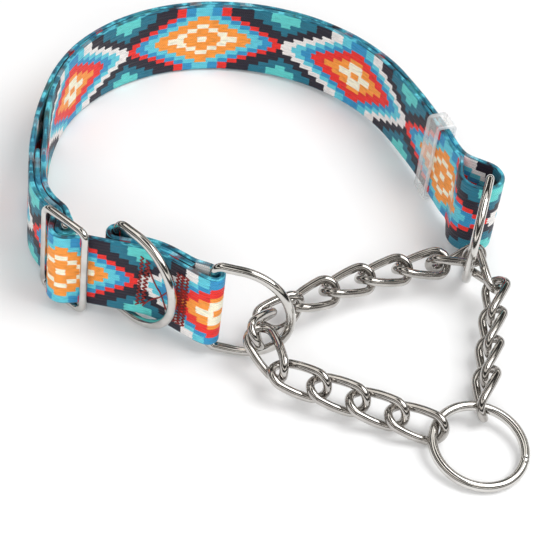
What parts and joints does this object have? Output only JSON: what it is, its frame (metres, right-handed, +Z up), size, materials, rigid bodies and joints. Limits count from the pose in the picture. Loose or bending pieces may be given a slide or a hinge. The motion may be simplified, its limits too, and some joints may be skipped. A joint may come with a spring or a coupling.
{
  "type": "martingale dog collar",
  "caption": "Martingale dog collar: folded webbing strap with adjuster, three D rings, clear keeper and a twisted-link control loop closed by a leash ring.",
  "frame": {"origin": "centre of the bounding box on the surface the collar rests on", "axes": "+Z up, along the width of the webbing; +Y towards the back of the neck loop; +X towards the leash ring side"},
  "size_m": [0.1534, 0.1668, 0.033],
  "materials": {
    "webbing_print": "printed polyester webbing, satin",
    "thread": "dark red polyester thread",
    "nickel_wire": "bright nickel plated wire",
    "clear_band": "clear moulded plastic"
  },
  "bodies": {
    "webbing": {"webbing_strap": "webbing_print", "near_bar_tack": "thread", "far_bar_tack": "thread"},
    "adjuster": {"adjuster_slide": "nickel_wire"},
    "tag_ring": {"tag_ring": "nickel_wire"},
    "left_ring": {"left_end_ring": "nickel_wire"},
    "right_ring": {"right_end_ring": "nickel_wire"},
    "keeper": {"strap_keeper": "clear_band"},
    "leash_ring": {"leash_ring": "nickel_wire"},
    "corner_link": {"corner_link": "nickel_wire"},
    "left_link_1": {"left_link_1": "nickel_wire"},
    "left_link_2": {"left_link_2": "nickel_wire"},
    "left_link_3": {"left_link_3": "nickel_wire"},
    "left_link_4": {"left_link_4": "nickel_wire"},
    "left_link_5": {"left_link_5": "nickel_wire"},
    "upper_link_1": {"upper_link_1": "nickel_wire"},
    "upper_link_2": {"upper_link_2": "nickel_wire"},
    "upper_link_3": {"upper_link_3": "nickel_wire"},
    "upper_link_4": {"upper_link_4": "nickel_wire"},
    "upper_link_5": {"upper_link_5": "nickel_wire"},
    "upper_link_6": {"upper_link_6": "nickel_wire"},
    "right_link_1": {"right_link_1": "nickel_wire"},
    "right_link_2": {"right_link_2": "nickel_wire"},
    "right_link_3": {"right_link_3": "nickel_wire"},
    "right_link_4": {"right_link_4": "nickel_wire"},
    "right_link_5": {"right_link_5": "nickel_wire"}
  },
  "joints": [
    {"name": "adjuster_rock", "type": "hinge", "parent": "webbing", "child": "adjuster", "pos_m": [-0.05839, -0.03674, 0.01525], "axis": [-0.0201, 0.0264, 0.9994], "range_deg": [-2, 2]},
    {"name": "tag_ring_swing", "type": "hinge", "parent": "webbing", "child": "tag_ring", "pos_m": [-0.04407, -0.03509, 0.01549], "axis": [0.0201, -0.0264, -0.9994], "range_deg": [0, 80]},
    {"name": "left_ring_swing", "type": "hinge", "parent": "webbing", "child": "left_ring", "pos_m": [-0.01578, -0.04603, 0.01635], "axis": [-0.0201, 0.0264, 0.9994], "range_deg": [-3, 5]},
    {"name": "right_ring_swing", "type": "hinge", "parent": "webbing", "child": "right_ring", "pos_m": [0.05793, 0.01051, 0.01634], "axis": [-0.0201, 0.0264, 0.9994], "range_deg": [-8, 2]},
    {"name": "keeper_slide", "type": "hinge", "parent": "webbing", "child": "keeper", "pos_m": [-0.15185, -0.06589, 0.01414], "axis": [-0.0201, 0.0264, 0.9994], "range_deg": [-2, 7]},
    {"name": "corner_link_roll", "type": "hinge", "parent": "webbing", "child": "corner_link", "pos_m": [-0.00134, -0.04464, 0.0099], "axis": [0.1437, 0.9131, -0.3816], "range_deg": [-4, 2]},
    {"name": "upper_link_1_roll", "type": "hinge", "parent": "webbing", "child": "upper_link_1", "pos_m": [0.00347, -0.03552, 0.00745], "axis": [0.6486, 0.7542, -0.102], "range_deg": [-9, 9]},
    {"name": "upper_link_2_roll", "type": "hinge", "parent": "webbing", "child": "upper_link_2", "pos_m": [0.01212, -0.0268, 0.00704], "axis": [0.7551, 0.6544, 0.0397], "range_deg": [-9, 9]},
    {"name": "upper_link_3_roll", "type": "hinge", "parent": "webbing", "child": "upper_link_3", "pos_m": [0.02152, -0.01944, 0.00751], "axis": [0.8161, 0.5766, 0.0397], "range_deg": [-9, 9]},
    {"name": "upper_link_4_roll", "type": "hinge", "parent": "webbing", "child": "upper_link_4", "pos_m": [0.03159, -0.01304, 0.00799], "axis": [0.869, 0.4931, 0.0397], "range_deg": [-9, 9]},
    {"name": "upper_link_5_roll", "type": "hinge", "parent": "webbing", "child": "upper_link_5", "pos_m": [0.04225, -0.00767, 0.00846], "axis": [0.9135, 0.4049, 0.0397], "range_deg": [-9, 9]},
    {"name": "upper_link_6_roll", "type": "hinge", "parent": "webbing", "child": "upper_link_6", "pos_m": [0.05186, -0.00435, 0.0102], "axis": [0.9211, 0.2007, 0.3336], "range_deg": [-3, 4]},
    {"name": "loop_lift_left", "type": "hinge", "parent": "webbing", "child": "left_link_1", "pos_m": [-0.00202, -0.04894, 0.0117], "axis": [-0.7869, -0.6171, 0], "range_deg": [0, 10]},
    {"name": "left_link_2_roll", "type": "hinge", "parent": "left_link_1", "child": "left_link_2", "pos_m": [0.01147, -0.05976, 0.00756], "axis": [0.9815, -0.1746, -0.0785], "range_deg": [-8, 8]},
    {"name": "left_link_3_roll", "type": "hinge", "parent": "left_link_1", "child": "left_link_3", "pos_m": [0.0225, -0.06172, 0.00668], "axis": [0.9815, -0.1746, -0.0785], "range_deg": [-8, 8]},
    {"name": "left_link_4_roll", "type": "hinge", "parent": "left_link_1", "child": "left_link_4", "pos_m": [0.03352, -0.06368, 0.0058], "axis": [0.9815, -0.1746, -0.0785], "range_deg": [-8, 8]},
    {"name": "left_link_5_roll", "type": "hinge", "parent": "left_link_1", "child": "left_link_5", "pos_m": [0.04455, -0.06564, 0.00492], "axis": [0.9815, -0.1746, -0.0785], "range_deg": [-8, 8]},
    {"name": "loop_lift_right", "type": "hinge", "parent": "webbing", "child": "right_link_1", "pos_m": [0.056, -0.00345, 0.0117], "axis": [-0.7869, -0.6171, 0], "range_deg": [0, 10]},
    {"name": "right_link_2_roll", "type": "hinge", "parent": "right_link_1", "child": "right_link_2", "pos_m": [0.06391, -0.01911, 0.00979], "axis": [-0.0346, -0.9907, -0.1319], "range_deg": [-7, 7]},
    {"name": "right_link_3_roll", "type": "hinge", "parent": "right_link_1", "child": "right_link_3", "pos_m": [0.06354, -0.0297, 0.00838], "axis": [-0.0346, -0.9907, -0.1319], "range_deg": [-7, 7]},
    {"name": "right_link_4_roll", "type": "hinge", "parent": "right_link_1", "child": "right_link_4", "pos_m": [0.06317, -0.0403, 0.00697], "axis": [-0.0346, -0.9907, -0.1319], "range_deg": [-7, 7]},
    {"name": "right_link_5_roll", "type": "hinge", "parent": "right_link_1", "child": "right_link_5", "pos_m": [0.0628, -0.05089, 0.00556], "axis": [-0.0346, -0.9907, -0.1319], "range_deg": [-7, 7]},
    {"name": "leash_ring_swing", "type": "hinge", "parent": "left_link_1", "child": "leash_ring", "pos_m": [0.04953, -0.06653, 0.00447], "axis": [-0.7786, -0.6271, -0.0224], "range_deg": [0, 60]}
  ],
  "couplings": [
    {"joint": "loop_lift_right", "follows": "loop_lift_left", "ratio": 1}
  ]
}
